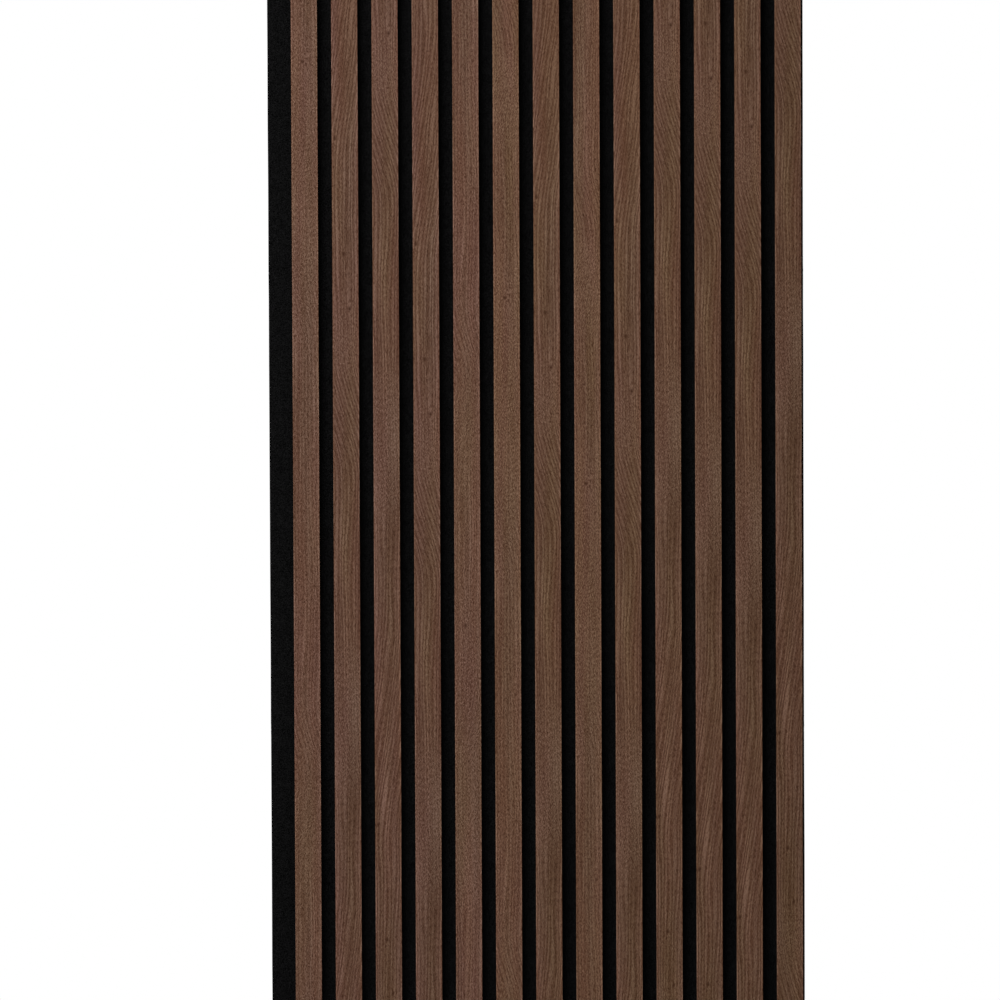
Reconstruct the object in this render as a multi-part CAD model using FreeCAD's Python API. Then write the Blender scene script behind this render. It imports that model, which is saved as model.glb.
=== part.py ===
# Acoustic slat wall panel, in millimetres.
# Upright slats, each a black fibreboard core with a wood veneer on its face, are glued and
# stapled to one sheet of black felt, and the felt's back lies against the wall.
# X runs across the slats, Z up along them, and the slats face -Y.
# The origin is the middle of the felt's back.
import FreeCAD
import Part
import os

from FreeCAD import Vector

# the felt sheet
panel_length = 2400.0
felt_thickness = 9.0
left_margin = 24.0          # felt that shows left of the first slat
right_margin = 2.5          # felt that shows right of the last slat

# the slats
slat_count = 13
slat_width = 26.0
slat_gap = 14.0
core_thickness = 11.4
veneer_thickness = 0.6
arris_radius = 0.5          # the sanded long edges of the veneer
glue_edge = 0.1             # square edge of veneer kept along the glue line

# the staples, driven from the back through the felt into the core
staple_rows = 6
row_end_distance = 60.0     # from each end of the panel to its nearest row
crown_width = 12.8          # over both legs
wire_thickness = 0.7        # seen along the slat
wire_width = 1.2            # along the slat
bend_flat = 0.5             # outside of each bend, across and along
crown_recess = 0.3          # crown's back below the felt's back
staple_bite = 6.0           # legs' reach into the core
point_length = 1.4          # slanted tip of each leg

# planes and edges that the pieces share
felt_front = -felt_thickness
core_front = felt_front - core_thickness
panel_front = core_front - veneer_thickness
slat_pitch = slat_width + slat_gap
felt_width = left_margin + (slat_count - 1) * slat_pitch + slat_width + right_margin
felt_left = -felt_width / 2
panel_bottom = -panel_length / 2


def block(left, width, front, back, bottom, height):
    """A square-edged block between the planes y = front and y = back."""
    corner = Vector(left, front, bottom)
    return Part.makeBox(width, back - front, height, corner)


def slat_left(number):
    """The left side of a slat, counted from 0 at the left."""
    return felt_left + left_margin + number * slat_pitch


def row_heights():
    """The heights of the staple rows, spread evenly between the end distances."""
    lowest = panel_bottom + row_end_distance
    spacing = (panel_length - 2 * row_end_distance) / (staple_rows - 1)
    return [lowest + spacing * row for row in range(staple_rows)]


def staple_places(number):
    """The middle of each staple's crown along one slat, as x and z."""
    middle = slat_left(number) + slat_width / 2
    return [(middle, height) for height in row_heights()]


def staple(middle, height):
    """A U of flat wire: a small flat outside each bend, and a slanted tip on each leg."""
    half = crown_width / 2
    inner_half = half - wire_thickness
    crown_back = -crown_recess
    crown_front = crown_back - wire_thickness
    tip_y = felt_front - staple_bite
    right_side = [
        (half - bend_flat, crown_back),
        (half, crown_back - bend_flat),
        (half, tip_y),
        (inner_half, tip_y + point_length),
        (inner_half, crown_front),
    ]
    left_side = [(-x, y) for x, y in reversed(right_side)]
    bottom = height - wire_width / 2
    corners = [Vector(middle + x, y, bottom) for x, y in right_side + left_side]
    outline = Part.makePolygon(corners + corners[:1])
    return Part.Face(outline).extrude(Vector(0, 0, wire_width))


def staple_seat(middle, height):
    """What a staple pushes aside in the felt: a slot for the crown and one for each leg."""
    half = crown_width / 2
    bottom = height - wire_width / 2
    left_leg = middle - half
    right_leg = middle + half - wire_thickness
    tip_y = felt_front - staple_bite
    crown_front = -crown_recess - wire_thickness
    return [
        block(middle - half, crown_width, crown_front, 0, bottom, wire_width),
        block(left_leg, wire_thickness, tip_y, 0, bottom, wire_width),
        block(right_leg, wire_thickness, tip_y, 0, bottom, wire_width),
    ]


def felt_backing():
    """The felt sheet, with the seats of all the staples."""
    sheet = block(felt_left, felt_width, felt_front, 0, panel_bottom, panel_length)
    seats = []
    for number in range(slat_count):
        for middle, height in staple_places(number):
            seats += staple_seat(middle, height)
    return sheet.cut(seats)


def slat_core(number):
    """A fibreboard strip, with the blind slots that the staple legs cut in its back."""
    strip = block(slat_left(number), slat_width, core_front, felt_front, panel_bottom, panel_length)
    return strip.cut([staple(middle, height) for middle, height in staple_places(number)])


def veneer_section(left):
    """The veneer's section: square at the glue line, both front arrises sanded round."""
    right = left + slat_width
    radius = min(arris_radius, veneer_thickness - glue_edge)
    side_front = panel_front + radius
    inset = radius * (1 - 0.5 ** 0.5)
    back_left = Vector(left, core_front, panel_bottom)
    back_right = Vector(right, core_front, panel_bottom)
    side_left = Vector(left, side_front, panel_bottom)
    side_right = Vector(right, side_front, panel_bottom)
    face_left = Vector(left + radius, panel_front, panel_bottom)
    face_right = Vector(right - radius, panel_front, panel_bottom)
    arris_left = Vector(left + inset, panel_front + inset, panel_bottom)
    arris_right = Vector(right - inset, panel_front + inset, panel_bottom)
    outline = [
        Part.LineSegment(back_left, back_right),
        Part.LineSegment(back_right, side_right),
        Part.Arc(side_right, arris_right, face_right),
        Part.LineSegment(face_right, face_left),
        Part.Arc(face_left, arris_left, side_left),
        Part.LineSegment(side_left, back_left),
    ]
    return Part.Face(Part.Wire([edge.toShape() for edge in outline]))


def slat_veneer(number):
    """The veneer on a slat's face, its section run the length of the panel."""
    return veneer_section(slat_left(number)).extrude(Vector(0, 0, panel_length))


def back_staples():
    """All the staples, as one group of separate solids."""
    pieces = []
    for number in range(slat_count):
        pieces += [staple(middle, height) for middle, height in staple_places(number)]
    return Part.makeCompound(pieces)


def save(shape, node):
    """Write one node's file."""
    shape.exportStep(os.path.join("parts", node + ".step"))
    print(node, len(shape.Solids), "solids", round(shape.Volume), "mm3", shape.isValid())


os.makedirs("parts", exist_ok=True)
save(felt_backing(), "felt_backing")
for slat in range(slat_count):
    save(slat_core(slat), "slat_core_%02d" % (slat + 1))
    save(slat_veneer(slat), "slat_veneer_%02d" % (slat + 1))
save(back_staples(), "back_staples")
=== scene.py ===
# Acoustic slat wall panel: smoked-brown veneered slats on a black felt sheet
import math

import bmesh
import bpy
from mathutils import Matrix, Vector


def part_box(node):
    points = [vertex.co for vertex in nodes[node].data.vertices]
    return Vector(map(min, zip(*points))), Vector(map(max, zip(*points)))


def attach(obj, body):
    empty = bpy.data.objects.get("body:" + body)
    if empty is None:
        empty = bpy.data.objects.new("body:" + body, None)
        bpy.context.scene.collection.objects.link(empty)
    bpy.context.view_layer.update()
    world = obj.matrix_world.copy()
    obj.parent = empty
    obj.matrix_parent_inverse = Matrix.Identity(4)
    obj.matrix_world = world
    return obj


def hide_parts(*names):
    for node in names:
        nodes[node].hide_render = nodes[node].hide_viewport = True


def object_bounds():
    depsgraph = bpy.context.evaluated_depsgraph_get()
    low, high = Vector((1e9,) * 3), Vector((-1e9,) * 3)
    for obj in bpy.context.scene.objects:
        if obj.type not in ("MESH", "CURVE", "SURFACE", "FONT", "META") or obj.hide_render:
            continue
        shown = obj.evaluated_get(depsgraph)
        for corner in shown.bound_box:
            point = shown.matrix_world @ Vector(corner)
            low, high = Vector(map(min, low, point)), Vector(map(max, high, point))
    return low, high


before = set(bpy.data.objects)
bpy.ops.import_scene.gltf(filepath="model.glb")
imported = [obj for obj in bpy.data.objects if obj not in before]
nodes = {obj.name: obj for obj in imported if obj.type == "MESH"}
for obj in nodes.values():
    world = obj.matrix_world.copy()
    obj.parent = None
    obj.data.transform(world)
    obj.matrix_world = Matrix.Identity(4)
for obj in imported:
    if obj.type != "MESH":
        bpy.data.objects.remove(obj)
cadLow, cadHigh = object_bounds()
bpy.ops.object.select_all(action="DESELECT")
print("frame loaded:", len(nodes), "pieces")

mm = 0.001


# material tools

def linear(red, green, blue):
    # a colour as a screen shows it, 0 to 255, turned into the light that a shader works in
    channels = []
    for value in (red, green, blue):
        share = value / 255
        channels.append(share / 12.92 if share <= 0.04045 else ((share + 0.055) / 1.055) ** 2.4)
    return (channels[0], channels[1], channels[2], 1.0)


def newMaterial(name):
    material = bpy.data.materials.new(name)
    material.use_nodes = True
    tree = material.node_tree
    tree.nodes.clear()
    shader = tree.nodes.new("ShaderNodeBsdfPrincipled")
    output = tree.nodes.new("ShaderNodeOutputMaterial")
    tree.links.new(shader.outputs["BSDF"], output.inputs["Surface"])
    return material, tree, shader


def plug(tree, socket, value):
    # links a node's output, or sets a plain number or colour
    if isinstance(value, bpy.types.NodeSocket):
        tree.links.new(value, socket)
    else:
        socket.default_value = value


def calc(tree, operation, *values):
    node = tree.nodes.new("ShaderNodeMath")
    node.operation = operation
    for socket, value in zip(node.inputs, values):
        plug(tree, socket, value)
    return node.outputs[0]


def remap(tree, value, fromLow, fromHigh, toLow, toHigh, kind="LINEAR"):
    node = tree.nodes.new("ShaderNodeMapRange")
    node.interpolation_type = kind
    for socket, number in zip(node.inputs, (value, fromLow, fromHigh, toLow, toHigh)):
        plug(tree, socket, number)
    return node.outputs[0]


def objectAxes(tree):
    # the place on the object, in millimetres
    place = tree.nodes.new("ShaderNodeTexCoord")
    split = tree.nodes.new("ShaderNodeSeparateXYZ")
    tree.links.new(place.outputs["Object"], split.inputs[0])
    return [calc(tree, "MULTIPLY", axis, 1 / mm) for axis in split.outputs]


def point(tree, x, y, z):
    node = tree.nodes.new("ShaderNodeCombineXYZ")
    for socket, value in zip(node.inputs, (x, y, z)):
        plug(tree, socket, value)
    return node.outputs[0]


def patternPlace(tree, axes, sizes):
    # the place counted in a pattern's marks, whose size along each axis is given
    return point(tree, *[calc(tree, "DIVIDE", axis, size) for axis, size in zip(axes, sizes)])


def fromMiddle(tree, first, second):
    # how far a place lies from the middle of a plane
    square = calc(tree, "MULTIPLY", second, second)
    return calc(tree, "SQRT", calc(tree, "MULTIPLY_ADD", first, first, square))


def noise(tree, place, detail=2.0, roughness=0.5, distortion=0.0, dimensions="3D"):
    node = tree.nodes.new("ShaderNodeTexNoise")
    node.noise_dimensions = dimensions
    node.inputs["Scale"].default_value = 1.0
    node.inputs["Detail"].default_value = detail
    node.inputs["Roughness"].default_value = roughness
    node.inputs["Distortion"].default_value = distortion
    tree.links.new(place, node.inputs["Vector"])
    return node.outputs["Fac"]


def dots(tree, place):
    # distance to the nearest of many scattered points on a plane
    node = tree.nodes.new("ShaderNodeTexVoronoi")
    node.voronoi_dimensions = "2D"
    node.inputs["Scale"].default_value = 1.0
    tree.links.new(place, node.inputs["Vector"])
    return node.outputs["Distance"]


def blendColours(tree, amount, first, second, kind="MIX"):
    node = tree.nodes.new("ShaderNodeMix")
    node.data_type = "RGBA"
    node.blend_type = kind
    plug(tree, node.inputs["Factor"], amount)
    plug(tree, node.inputs["A"], first)
    plug(tree, node.inputs["B"], second)
    return node.outputs["Result"]


def ramp(tree, value, first, middle, last):
    node = tree.nodes.new("ShaderNodeValToRGB")
    steps = node.color_ramp.elements
    steps[0].color = first
    steps[1].color = last
    steps.new(0.5).color = middle
    plug(tree, node.inputs["Fac"], value)
    return node.outputs["Color"]


def bump(tree, height, shader, depth, strength=1.0):
    node = tree.nodes.new("ShaderNodeBump")
    node.inputs["Strength"].default_value = strength
    node.inputs["Distance"].default_value = depth
    tree.links.new(height, node.inputs["Height"])
    tree.links.new(node.outputs["Normal"], shader.inputs["Normal"])


# veneered slats

veneer = {
    "darkBrown": (52.6, 27.8, 14.5),
    "middleBrown": (90.4, 63.3, 47.6),
    "paleBrown": (129.9, 102.5, 85.2),
    "redTint": (1.024, 0.974, 1.008, 1.0),
    "oliveTint": (0.977, 1.026, 0.99, 1.0),
    "coolTint": (1.0, 1.0, 1.055, 1.0),
    "warmTint": (1.0, 1.0, 0.945, 1.0),
    "pinkerSlats": 5,            # the first slats from the left are a little pinker, the rest yellower
    "pinkCast": (1.0, 0.985, 1.038),
    "yellowCast": (1.003, 1.0, 0.975),
    "meander": (60, 130, 4),     # mm across, mm along and the grain's run across
    "tintSize": (16, 250),       # all sizes in mm across and along the grain
    "zoneSize": (14, 170),
    "zoneDepth": 0.17,           # share of the way from dark to pale
    "bandSize": (5, 90),
    "bandDepth": 0.15,
    "hairSize": (0.8, 15),
    "hairDepth": 0.38,
    "fleckSize": (0.75, 1.7),
    "fleckDepth": 1.5,
    "fleckShift": (2.0, 7.0),    # mm that the bands and hairs move the flecks, so that they form no rows
    "gritSize": (0.22, 3.2),     # only seen from near
    "gritDepth": 0.32,
    "lineSpacing": 3.6,          # mm between growth lines
    "lineWander": (9, 140),
    "wanderTurns": 2.0,          # growth lines that the wander spans
    "lineDepth": 0.12,
    "lineChange": 1.6,           # how far the bands strengthen and weaken the lines
    "poreSize": (0.55, 7.0),
    "poreReach": (0.05, 0.5),    # shares of that size that a pore takes, where they are fewest and most
    "poreEdge": 0.12,            # share over which a pore's edge fades
    "poreDepth": 0.3,
    "poreRelief": 0.12,          # mm
    "mottledLines": 0.35,        # what is left of the lines, hairs and pores in mottled wood
    "mottledHairs": 0.6,
    "mottledPores": 0.6,
    "stretchFade": 22,           # mm, half of the soft end of a stretch
    "knotReach": (0.7, 1.8),     # mm from a pin knot's middle to where it starts and ends fading
    "knotLength": 1.6,           # against its width
    "knotDepth": 0.75,
    "edgeHighlightWidth": 1.5,           # mm at each long edge over which the wood is lightened as a painted highlight
    # how much the painted highlight at each long edge lightens the wood
    "edgeHighlightGain": 1.3,
    "roughness": 0.58,
    "shine": 0.05,
}

# The slats are cut from two leaves of veneer, and each leaf's figure comes again and again.
# Heights and lengths are in mm along the leaf.
leafRepeat = 956                 # mm
leaves = {
    "flecked": {
        "seed": 14.0,
        "lines": 0.65,           # how strong its growth lines are
        "flecks": 0.65,          # and its short flecks, outside mottled wood
        # height, length and mm across of each slanted stretch
        "slants": [(-313, 60, -13), (338, 70, -12), (-236, 70, 13), (195, 70, 12)],
        # height and length of each stretch of mottled wood
        "mottled": [(311, 313), (-323, 80)],
        # height and length of each stretch that is paler on one side, and how much for each mm across
        "halves": [(20, 220, 0.0052), (-189, 90, -0.0025)],
        # mm across from the slat's middle and height of each pin knot
        "knots": [(-2, 436)],
    },
    "lined": {
        "seed": 37.0,
        "lines": 1.0,
        "flecks": 0.4,
        "slants": [(-16, 135, 30), (293, 130, -15), (400, 150, -15)],
        "mottled": [(52, 50), (-321, 140)],
        "halves": [(-439, 200, -0.0038), (179, 70, -0.0032), (-239, 120, -0.0026), (318, 100, 0.0018)],
        "knots": [(-1.5, 140), (-10, 255), (4, 86)],
    },
}

# each slat's leaf, how much higher it was cut from it, and its lightness against the others: partly the
# boards' own tone, partly painted shade that darkens the slats towards the right
cuts = {
    1: ("flecked", 0, 1.015),
    2: ("lined", -105, 0.985),
    3: ("lined", -378, 1.0),
    4: ("lined", 0, 1.0),
    5: ("flecked", -395, 1.045),
    6: ("flecked", 235, 1.06),
    7: ("lined", -46, 1.0),
    8: ("flecked", 420, 1.05),
    9: ("lined", -22, 1.01),
    10: ("lined", -385, 1.0),
    11: ("lined", -332, 0.98),
    12: ("lined", -284, 0.98),
    13: ("lined", -468, 0.93),
}


def inStretch(tree, figure, middle, length):
    # 1 within a stretch of the leaf, falling to 0 over its ends
    span = leafRepeat / 2
    fade = veneer["stretchFade"]
    away = calc(tree, "WRAP", calc(tree, "SUBTRACT", figure, float(middle)), span, -span)
    away = calc(tree, "ABSOLUTE", away)
    return remap(tree, away, length / 2 - fade, length / 2 + fade, 1.0, 0.0, "SMOOTHSTEP")


def grainAcross(tree, leaf, across, height, figure):
    # how far across the grain a point lies: by a slow meander alone, and with the slanted stretches too
    wide, long, run = veneer["meander"]
    meander = noise(tree, point(tree, calc(tree, "DIVIDE", across, wide),
                                calc(tree, "MULTIPLY_ADD", height, 1 / long, leaf["seed"]), 0.0), 1.5,
                    dimensions="2D")
    upright = calc(tree, "MULTIPLY_ADD", calc(tree, "SUBTRACT", meander, 0.5), run, across)
    shifted = upright
    for middle, length, slant in leaf["slants"]:
        shift = remap(tree, figure, middle - length / 2, middle + length / 2, 0.0, slant, "SMOOTHSTEP")
        shifted = calc(tree, "ADD", shifted, shift)
    return upright, shifted


def alongGrain(tree, grain, height, size, seed):
    # a place stretched along the grain, for a pattern whose marks are of this size: the seed moves it
    # to a part of the pattern of its own
    return point(tree, calc(tree, "MULTIPLY_ADD", grain, 1 / size[0], seed * 3.7),
                 calc(tree, "MULTIPLY_ADD", height, 1 / size[1], seed), 0.0)


def grainNoise(tree, grain, height, size, seed, detail=0.0):
    # runs from about -0.5 to 0.5
    fac = noise(tree, alongGrain(tree, grain, height, size, seed), detail, dimensions="2D")
    return calc(tree, "SUBTRACT", fac, 0.5)


def growthLines(tree, grain, height, seed):
    # -1 to 1 across lines that wander a little
    wander = noise(tree, alongGrain(tree, grain, height, veneer["lineWander"], seed), 1.0, dimensions="2D")
    turns = calc(tree, "DIVIDE", grain, veneer["lineSpacing"])
    turns = calc(tree, "MULTIPLY_ADD", wander, veneer["wanderTurns"], turns)
    return calc(tree, "SINE", calc(tree, "MULTIPLY", turns, 2 * math.pi))


def pores(tree, grain, height, gather, seed):
    # thin dark dashes, more of them and longer where they gather
    distance = dots(tree, alongGrain(tree, grain, height, veneer["poreSize"], seed))
    fewest, most = veneer["poreReach"]
    reach = remap(tree, gather, -0.25, 0.25, fewest, most)
    return remap(tree, calc(tree, "SUBTRACT", reach, distance), 0.0, veneer["poreEdge"], 0.0, 1.0)


def addPinKnot(tree, wood, across, figure, knot):
    aside = calc(tree, "SUBTRACT", across, float(knot[0]))
    above = calc(tree, "DIVIDE", calc(tree, "SUBTRACT", figure, float(knot[1])), veneer["knotLength"])
    near, far = veneer["knotReach"]
    dark = remap(tree, fromMiddle(tree, aside, above), near, far, veneer["knotDepth"], 0.0)
    return blendColours(tree, dark, wood, linear(*veneer["darkBrown"]))


def veneerMaterial(number):
    low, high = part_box("slat_veneer_%02d" % number)
    middle = (low.x + high.x) / 2 / mm
    halfWidth = (high.x - low.x) / 2 / mm
    name, lift, toneAndShade = cuts[number]
    leaf = leaves[name]
    seed = leaf["seed"]
    material, tree, shader = newMaterial("smokedVeneer%02d" % number)
    x, y, z = objectAxes(tree)
    across = calc(tree, "SUBTRACT", x, middle)
    height = calc(tree, "ADD", z, float(lift))
    figure = calc(tree, "WRAP", height, leafRepeat / 2, -leafRepeat / 2)     # height within one repeat
    upright, grain = grainAcross(tree, leaf, across, height, figure)

    mottled = 0.0
    for place, length in leaf["mottled"]:
        mottled = calc(tree, "ADD", inStretch(tree, figure, place, length), mottled)
    lined = calc(tree, "SUBTRACT", 1.0, mottled)
    side = 0.0
    for place, length, gain in leaf["halves"]:
        side = calc(tree, "MULTIPLY_ADD", inStretch(tree, figure, place, length), gain, side)

    zone = grainNoise(tree, upright, height, veneer["zoneSize"], seed + 1)
    band = grainNoise(tree, upright, height, veneer["bandSize"], seed + 3)
    hair = grainNoise(tree, grain, height, veneer["hairSize"], seed + 4, 1.0)
    acrossShift, alongShift = veneer["fleckShift"]
    fleckAcross = calc(tree, "MULTIPLY_ADD", band, acrossShift, grain)
    fleckHeight = calc(tree, "MULTIPLY_ADD", hair, alongShift, height)
    fleck = grainNoise(tree, fleckAcross, fleckHeight, veneer["fleckSize"], seed + 6, 1.0)
    grit = grainNoise(tree, grain, height, veneer["gritSize"], seed + 7)
    line = growthLines(tree, grain, height, seed + 5)
    gather = calc(tree, "MULTIPLY_ADD", line, -0.05, calc(tree, "MULTIPLY", fleck, -1.0))
    pore = pores(tree, grain, height, gather, seed + 9)

    lineShare = remap(tree, lined, 0.0, 1.0, veneer["mottledLines"], leaf["lines"])
    change = calc(tree, "MULTIPLY_ADD", band, veneer["lineChange"], 1.0)
    lineShare = calc(tree, "MULTIPLY", lineShare, change)
    fleckShare = remap(tree, lined, 0.0, 1.0, 1.0, leaf["flecks"])
    hairShare = remap(tree, lined, 0.0, 1.0, veneer["mottledHairs"], 1.0)
    poreShare = remap(tree, lined, 0.0, 1.0, veneer["mottledPores"], 1.0)
    middleTone = 0.5 + veneer["poreDepth"] * 0.2          # the pores darken a fifth of the wood
    tone = calc(tree, "MULTIPLY_ADD", zone, veneer["zoneDepth"], middleTone)
    tone = calc(tree, "MULTIPLY_ADD", band, veneer["bandDepth"], tone)
    tone = calc(tree, "MULTIPLY_ADD", calc(tree, "MULTIPLY", hair, hairShare), veneer["hairDepth"], tone)
    tone = calc(tree, "MULTIPLY_ADD", calc(tree, "MULTIPLY", fleck, fleckShare), veneer["fleckDepth"], tone)
    tone = calc(tree, "MULTIPLY_ADD", calc(tree, "MULTIPLY", line, lineShare), veneer["lineDepth"], tone)
    tone = calc(tree, "MULTIPLY_ADD", calc(tree, "MULTIPLY", pore, poreShare), -veneer["poreDepth"], tone)
    tone = calc(tree, "MULTIPLY_ADD", grit, veneer["gritDepth"], tone)
    tone = calc(tree, "MULTIPLY_ADD", across, side, tone)
    wood = ramp(tree, tone, linear(*veneer["darkBrown"]), linear(*veneer["middleBrown"]),
                linear(*veneer["paleBrown"]))

    for first, second, start in (("redTint", "oliveTint", 2), ("coolTint", "warmTint", 10)):
        hue = grainNoise(tree, upright, height, veneer["tintSize"], seed + start, 1.0)
        tint = blendColours(tree, remap(tree, hue, -0.2, 0.2, 0.0, 1.0), veneer[first], veneer[second])
        wood = blendColours(tree, 1.0, wood, tint, "MULTIPLY")
    for knot in leaf["knots"]:
        wood = addPinKnot(tree, wood, across, figure, knot)

    # painted highlight: the wood is lightened along both long edges
    edge = calc(tree, "SUBTRACT", halfWidth, calc(tree, "ABSOLUTE", across))
    gain = remap(tree, edge, veneer["edgeHighlightWidth"] * 0.5, veneer["edgeHighlightWidth"], veneer["edgeHighlightGain"], 1.0)
    # each slat's lightness is partly its board's own tone and partly painted shade, darkest on the
    # right-hand slats
    light = calc(tree, "MULTIPLY", gain, toneAndShade)
    cast = veneer["pinkCast"] if number <= veneer["pinkerSlats"] else veneer["yellowCast"]
    lights = [calc(tree, "MULTIPLY", light, share) for share in cast]
    wood = blendColours(tree, 1.0, wood, point(tree, *lights), "MULTIPLY")
    tree.links.new(wood, shader.inputs["Base Color"])

    tree.links.new(remap(tree, hair, -0.2, 0.2, veneer["roughness"] + 0.06, veneer["roughness"] - 0.05),
                   shader.inputs["Roughness"])
    shader.inputs["Specular IOR Level"].default_value = veneer["shine"]
    relief = calc(tree, "SUBTRACT", hair, pore)
    bump(tree, relief, shader, veneer["poreRelief"] * mm, 0.8)
    return material


def dress(node, material):
    piece = nodes[node]
    piece.data.materials.clear()
    piece.data.materials.append(material)


for number in cuts:
    dress("slat_veneer_%02d" % number, veneerMaterial(number))
print("veneers dressed")


# fibreboard cores

core = {
    "black": (10, 9.5, 9.5),
    "chip": (31, 27, 24),
    "chipSize": (0.5, 0.35, 0.8),    # mm across, deep and along the slat
    "sawDepth": 6.0,                 # mm that a saw line runs on from front to back
    "sawPitch": 1.1,                 # mm between saw lines along the slat
    "relief": 0.08,                  # mm
    "roughness": 0.9,
    "shine": 0.06,
}


def coreMaterial():
    material, tree, shader = newMaterial("blackFibreboard")
    x, y, height = objectAxes(tree)
    speck = noise(tree, patternPlace(tree, (x, y, height), core["chipSize"]), 3.0, 0.65)
    saw = noise(tree, point(tree, 0.0, calc(tree, "DIVIDE", y, core["sawDepth"]),
                            calc(tree, "DIVIDE", height, core["sawPitch"])), 1.0)
    dust = remap(tree, speck, 0.45, 0.8, 0.0, 1.0)
    board = blendColours(tree, dust, linear(*core["black"]), linear(*core["chip"]))
    tree.links.new(board, shader.inputs["Base Color"])
    shader.inputs["Roughness"].default_value = core["roughness"]
    shader.inputs["Specular IOR Level"].default_value = core["shine"]
    relief = calc(tree, "ADD", calc(tree, "MULTIPLY", saw, 0.6), speck)
    bump(tree, relief, shader, core["relief"] * mm, 0.7)
    return material


blackFibreboard = coreMaterial()
for number in cuts:
    dress("slat_core_%02d" % number, blackFibreboard)
print("cores dressed")


# felt board

felt = {
    "edgeRound": 0.9,            # mm, the cut edges' soft rounding
    "unevenness": 0.12,          # mm
    "seatDepth": 1.0,            # mm from the board's back to the felt under a staple's crown
    "seatReach": 5.5,            # mm round a crown that its pull draws in
    "seatAside": (7.3, 9.2, 12.0),   # mm from a crown's middle, the cuts across that shape its seat
    "seatAbove": (1.0, 3.0, 6.0),
    "seatMargin": 0.2,           # mm past the innermost cuts, so that their corners are picked too
    "rows": 6,
    "wireWidth": 1.2,            # mm
    "cutSpacing": 60,            # mm between the other cuts along the board
    "black": (1, 1, 1),
    "fibre": (27, 26.7, 27.2),
    "cloudSize": (7.0, 3.0, 9.0),    # mm across, deep and along the board
    "cloudShare": 0.12,
    "fibreSize": (1.1, 0.5, 1.0),
    "fuzzRange": (0.42, 0.67),   # where the black ends and the palest fibres start
    "relief": 0.35,              # mm
    "shine": 0.02,
}


def seatRows():
    # the heights of the rows of staples
    low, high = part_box("back_staples")
    first = low.z + felt["wireWidth"] * mm / 2
    last = high.z - felt["wireWidth"] * mm / 2
    return [first + (last - first) * row / (felt["rows"] - 1) for row in range(felt["rows"])]


def seatColumns():
    # the middle of each slat
    columns = []
    for number in cuts:
        low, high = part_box("slat_core_%02d" % number)
        columns.append((low.x + high.x) / 2)
    return columns


def cutAcross(place, normal):
    bpy.ops.mesh.select_all(action="SELECT")
    bpy.ops.mesh.bisect(plane_co=place, plane_no=normal)


def feltBoard():
    low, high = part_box("felt_backing")
    bpy.ops.object.select_all(action="DESELECT")
    bpy.ops.mesh.primitive_cube_add(size=1, location=(low + high) / 2, scale=high - low)
    board = bpy.context.object
    board.name = "felt_board"
    bpy.ops.object.transform_apply(location=True, rotation=False, scale=True)
    bpy.ops.object.mode_set(mode="EDIT")
    bpy.ops.mesh.select_all(action="SELECT")
    bpy.ops.mesh.bevel(offset=felt["edgeRound"] * mm, segments=3, affect="EDGES")
    for middle in seatColumns():
        cutAcross((middle, 0, 0), (1, 0, 0))
        for aside in felt["seatAside"]:
            cutAcross((middle - aside * mm, 0, 0), (1, 0, 0))
            cutAcross((middle + aside * mm, 0, 0), (1, 0, 0))
    for row in seatRows():
        for above in felt["seatAbove"]:
            cutAcross((0, 0, row - above * mm), (0, 0, 1))
            cutAcross((0, 0, row + above * mm), (0, 0, 1))
    spacing = felt["cutSpacing"] * mm
    for step in range(1, int((high.z - low.z) / spacing)):
        cutAcross((0, 0, low.z + spacing * step + spacing * 0.3), (0, 0, 1))

    bpy.ops.mesh.select_all(action="SELECT")
    bpy.ops.transform.vertex_random(offset=felt["unevenness"] * mm, uniform=0.0, normal=1.0, seed=5)
    selectSeats(board, high.y)
    bpy.ops.transform.translate(value=(0, -felt["seatDepth"] * mm, 0), use_proportional_edit=True,
                                proportional_edit_falloff="SMOOTH", proportional_size=felt["seatReach"] * mm)
    bpy.ops.object.mode_set(mode="OBJECT")
    bpy.ops.object.shade_smooth_by_angle(angle=math.radians(50))
    return board


def selectSeats(board, back):
    # the board's back under every crown
    bpy.ops.mesh.select_all(action="DESELECT")
    mesh = bmesh.from_edit_mesh(board.data)
    columns = seatColumns()
    rows = seatRows()
    aside = (felt["seatAside"][0] + felt["seatMargin"]) * mm
    above = (felt["seatAbove"][0] + felt["seatMargin"]) * mm
    for corner in mesh.verts:
        place = corner.co
        onBack = place.y > back - felt["edgeRound"] * mm / 2
        underCrown = any(abs(place.x - column) < aside for column in columns)
        inRow = any(abs(place.z - row) < above for row in rows)
        corner.select = onBack and underCrown and inRow
    mesh.select_flush_mode()
    bmesh.update_edit_mesh(board.data)


def feltMaterial():
    material, tree, shader = newMaterial("needledFelt")
    axes = objectAxes(tree)
    cloud = noise(tree, patternPlace(tree, axes, felt["cloudSize"]), 3.0, 0.6)
    hair = noise(tree, patternPlace(tree, axes, felt["fibreSize"]), 3.0, 0.7, 1.0)
    share = felt["cloudShare"]
    fuzz = calc(tree, "ADD", calc(tree, "MULTIPLY", cloud, share), calc(tree, "MULTIPLY", hair, 1.0 - share))
    low, high = felt["fuzzRange"]
    cloth = blendColours(tree, remap(tree, fuzz, low, high, 0.0, 1.0), linear(*felt["black"]),
                         linear(*felt["fibre"]))
    tree.links.new(cloth, shader.inputs["Base Color"])
    shader.inputs["Roughness"].default_value = 1.0
    shader.inputs["Specular IOR Level"].default_value = felt["shine"]
    bump(tree, hair, shader, felt["relief"] * mm, 0.8)
    return material


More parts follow.
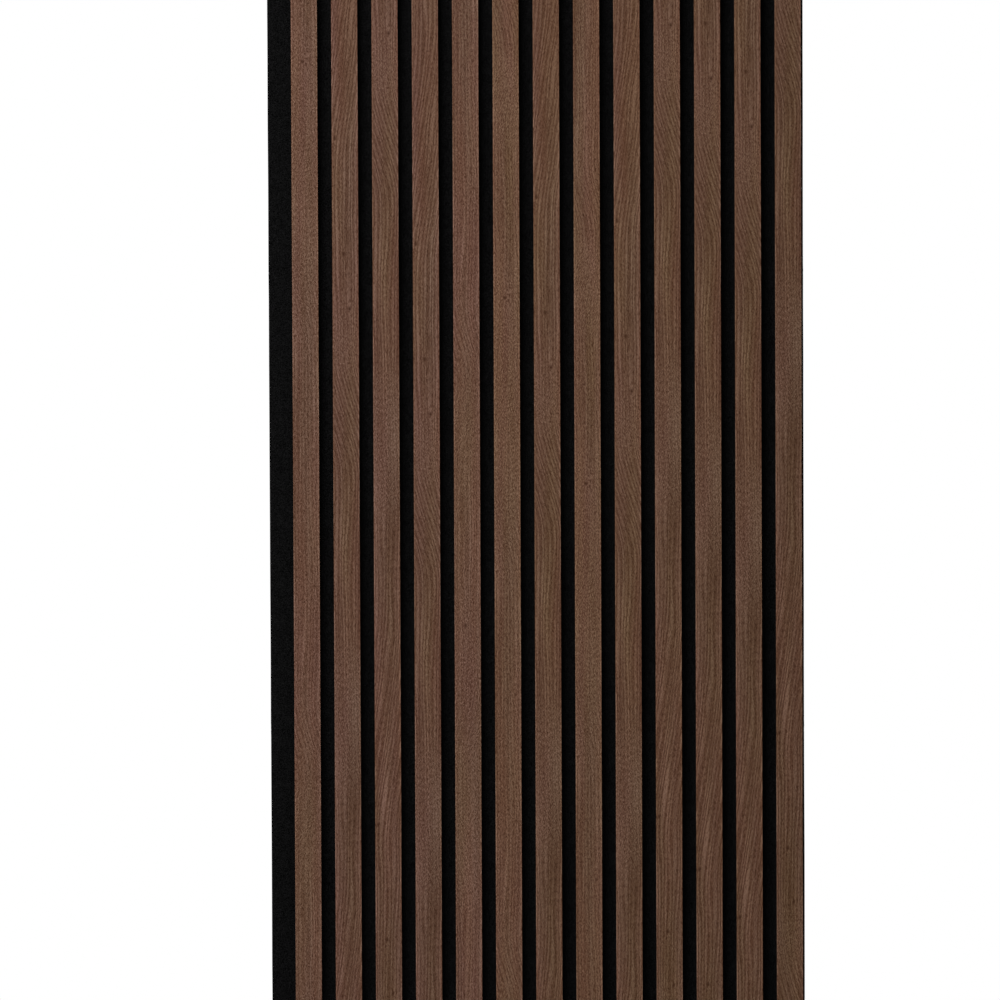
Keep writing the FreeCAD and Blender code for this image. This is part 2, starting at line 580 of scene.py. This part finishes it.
board = feltBoard()
board.data.materials.append(feltMaterial())
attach(board, "root")
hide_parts("felt_backing")
print("felt board made:", len(board.data.polygons), "faces")


# staples

staple = {
    "steel": (168, 168, 164),
    "dull": (120, 121, 120),
    "drawnSize": (4.0, 4.0, 0.15),   # mm, the fine lines that drawing leaves along the wire
    "roughness": (0.3, 0.45),        # bright and dull
}


def stapleMaterial():
    material, tree, shader = newMaterial("galvanisedWire")
    drawn = noise(tree, patternPlace(tree, objectAxes(tree), staple["drawnSize"]), 2.0)
    wire = blendColours(tree, remap(tree, drawn, 0.35, 0.65, 0.0, 1.0), linear(*staple["steel"]),
                        linear(*staple["dull"]))
    tree.links.new(wire, shader.inputs["Base Color"])
    shader.inputs["Metallic"].default_value = 1.0
    bright, dull = staple["roughness"]
    tree.links.new(remap(tree, drawn, 0.3, 0.7, bright, dull), shader.inputs["Roughness"])
    return material


dress("back_staples", stapleMaterial())
print("staples dressed")


# floor, world and lamps

room = {
    "floorSize": 9.0,            # m
    "floorColour": (0.8, 0.8, 0.79, 1.0),
    "floorGlow": 0.42,           # seen by the camera alone, so that the floor comes out near white
    "floorFade": (1.2, 3.2),     # m from the panel, where the floor turns into the white round it
    "ambient": 0.2,
    "keyPlace": (-1.05, -2.0, 0.93),
    "keyPower": 57.0,            # W
    "keySize": 1.5,              # m
    "backPlace": (1.2, 2.6, 1.2),
    "backPower": 90.0,
    "backSize": 2.0,
}


def addFloor():
    bpy.ops.mesh.primitive_plane_add(size=room["floorSize"], location=(0, 0, cadLow.z))
    floor = bpy.context.object
    floor.name = "floor"
    material, tree, shader = newMaterial("paleFloor")
    shader.inputs["Base Color"].default_value = room["floorColour"]
    shader.inputs["Roughness"].default_value = 0.8
    shader.inputs["Emission Color"].default_value = (1.0, 1.0, 1.0, 1.0)
    x, y, height = objectAxes(tree)
    near, far = room["floorFade"]
    glow = remap(tree, fromMiddle(tree, x, y), near / mm, far / mm, room["floorGlow"], 1.0, "SMOOTHSTEP")
    rays = tree.nodes.new("ShaderNodeLightPath")
    tree.links.new(calc(tree, "MULTIPLY", rays.outputs["Is Camera Ray"], glow),
                   shader.inputs["Emission Strength"])
    floor.data.materials.append(material)


def addWorld():
    world = bpy.data.worlds.new("studio")
    bpy.context.scene.world = world
    world.use_nodes = True
    tree = world.node_tree
    tree.nodes.clear()
    soft = tree.nodes.new("ShaderNodeBackground")
    soft.inputs["Strength"].default_value = room["ambient"]
    white = tree.nodes.new("ShaderNodeBackground")
    white.inputs["Color"].default_value = (1.0, 1.0, 1.0, 1.0)
    rays = tree.nodes.new("ShaderNodeLightPath")
    seen = calc(tree, "MAXIMUM", rays.outputs["Is Camera Ray"],
                calc(tree, "MAXIMUM", rays.outputs["Is Glossy Ray"], rays.outputs["Is Transmission Ray"]))
    either = tree.nodes.new("ShaderNodeMixShader")
    output = tree.nodes.new("ShaderNodeOutputWorld")
    tree.links.new(seen, either.inputs[0])
    tree.links.new(soft.outputs[0], either.inputs[1])
    tree.links.new(white.outputs[0], either.inputs[2])
    tree.links.new(either.outputs[0], output.inputs["Surface"])


def addLamp(name, place, power, size):
    # a square lamp that faces the panel's middle
    lamp = bpy.data.lights.new(name, "AREA")
    lamp.energy = power
    lamp.size = size
    holder = bpy.data.objects.new(name, lamp)
    bpy.context.collection.objects.link(holder)
    holder.location = place
    holder.rotation_euler = (-Vector(place)).to_track_quat("-Z", "Y").to_euler()
    holder.visible_camera = False


addFloor()
addWorld()
addLamp("keyLamp", room["keyPlace"], room["keyPower"], room["keySize"])
addLamp("backLamp", room["backPlace"], room["backPower"], room["backSize"])
print("room lit")


# camera, a long lens square to the slats

camera = {
    "distance": 5.0,             # m from the slats' faces
    "pixelsPerMetre": 1005.6,
    "frame": 1000,               # pixels each way
    "sensor": 36.0,              # mm
    "panelMiddle": 536.2,        # pixel across
    "lookDown": 1.65,            # degrees
    "roll": 0.235,
    "farthest": 100,             # m
}


def addCamera():
    data = bpy.data.cameras.new("camera")
    holder = bpy.data.objects.new("camera", data)
    bpy.context.collection.objects.link(holder)
    data.sensor_width = camera["sensor"]
    data.lens = camera["pixelsPerMetre"] * camera["distance"] / camera["frame"] * camera["sensor"]
    aside = (camera["panelMiddle"] - camera["frame"] / 2) / camera["pixelsPerMetre"]
    tilt = math.radians(camera["lookDown"])
    holder.location = (-aside, cadLow.y - camera["distance"], camera["distance"] * math.tan(tilt))
    holder.rotation_euler = (math.pi / 2 - tilt, math.radians(camera["roll"]), 0)
    data.clip_end = camera["farthest"]
    bpy.context.scene.camera = holder


addCamera()
bpy.context.scene.view_settings.view_transform = "Standard"
print("camera set")
